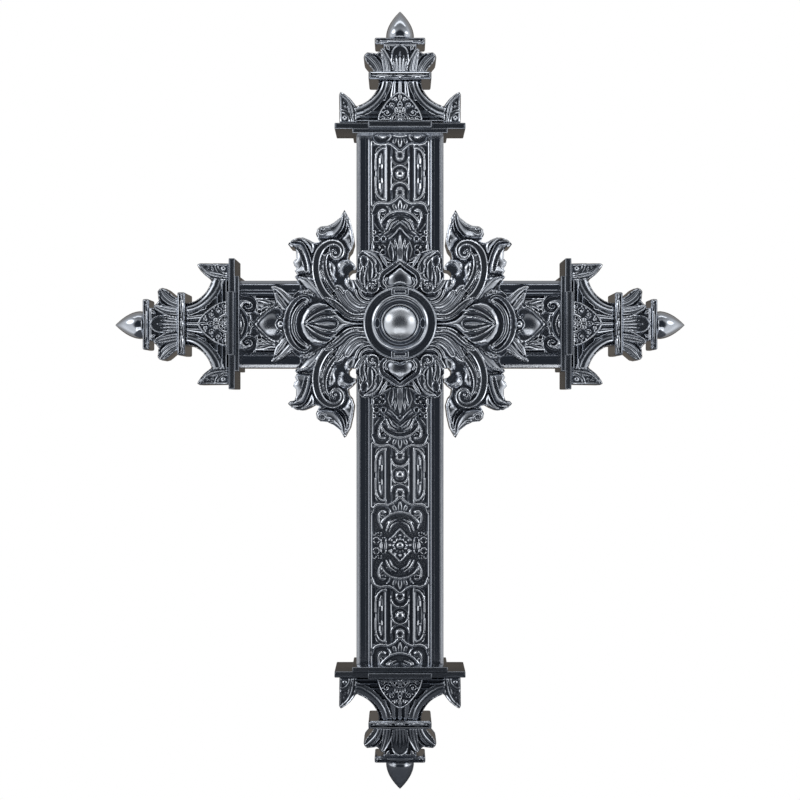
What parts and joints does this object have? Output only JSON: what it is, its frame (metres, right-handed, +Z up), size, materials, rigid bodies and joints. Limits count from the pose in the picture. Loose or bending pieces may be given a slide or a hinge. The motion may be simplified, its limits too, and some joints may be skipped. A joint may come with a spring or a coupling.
{
  "type": "processional cross",
  "caption": "Ornamental processional cross head in cast silvered metal: relief-panelled arms, foliate crossing with a domed boss, corner sprays and stepped bud terminals.",
  "frame": {"origin": "centre of the crossing on the flat rear face of the upright's back plate", "axes": "+Z up the upright to the top terminal, +X to the right as seen from the front, the ornamented front faces -Y and +Y comes out of the rear face"},
  "size_m": [0.433, 0.0445, 0.591],
  "materials": {
    "polished_silver": "polished, darkened in the recesses",
    "oxidised_silver": "oxidised with rubbed high points",
    "mirror_dome": "mirror polish",
    "satin_back": "satin",
    "core_timber": "planed oak",
    "tie_steel": "turned"
  },
  "bodies": {
    "root": {"core_upright": "core_timber", "core_crossbar": "core_timber", "back_plate_upright": "satin_back", "back_plate_right": "satin_back", "back_plate_left": "satin_back", "back_screw_top": "tie_steel", "back_screw_right": "tie_steel", "back_screw_bottom": "tie_steel", "back_screw_left": "tie_steel", "casing_top": "polished_silver", "casing_right": "polished_silver", "casing_bottom": "polished_silver", "casing_left": "polished_silver", "panel_top": "oxidised_silver", "panel_right": "oxidised_silver", "panel_bottom": "oxidised_silver", "panel_left": "oxidised_silver", "crossing_box": "polished_silver", "rosette_plate": "polished_silver", "boss_ring": "polished_silver", "bezel_cup": "polished_silver", "cabochon": "mirror_dome", "rosette_bolt": "tie_steel", "spray_upper_left": "polished_silver", "spray_upper_right": "polished_silver", "spray_lower_left": "polished_silver", "spray_lower_right": "polished_silver", "base_plate_top": "polished_silver", "bell_top": "polished_silver", "palmette_top": "oxidised_silver", "lower_collar_top": "polished_silver", "leaf_cup_top": "polished_silver", "upper_collar_top": "polished_silver", "finial_bud_top": "polished_silver", "tie_rod_top": "tie_steel", "base_plate_right": "polished_silver", "bell_right": "polished_silver", "palmette_right": "oxidised_silver", "lower_collar_right": "polished_silver", "leaf_cup_right": "polished_silver", "upper_collar_right": "polished_silver", "finial_bud_right": "polished_silver", "tie_rod_right": "tie_steel", "base_plate_bottom": "polished_silver", "bell_bottom": "polished_silver", "palmette_bottom": "oxidised_silver", "lower_collar_bottom": "polished_silver", "leaf_cup_bottom": "polished_silver", "upper_collar_bottom": "polished_silver", "finial_bud_bottom": "polished_silver", "tie_rod_bottom": "tie_steel", "base_plate_left": "polished_silver", "bell_left": "polished_silver", "palmette_left": "oxidised_silver", "lower_collar_left": "polished_silver", "leaf_cup_left": "polished_silver", "upper_collar_left": "polished_silver", "finial_bud_left": "polished_silver", "tie_rod_left": "tie_steel"}
  },
  "joints": []
}
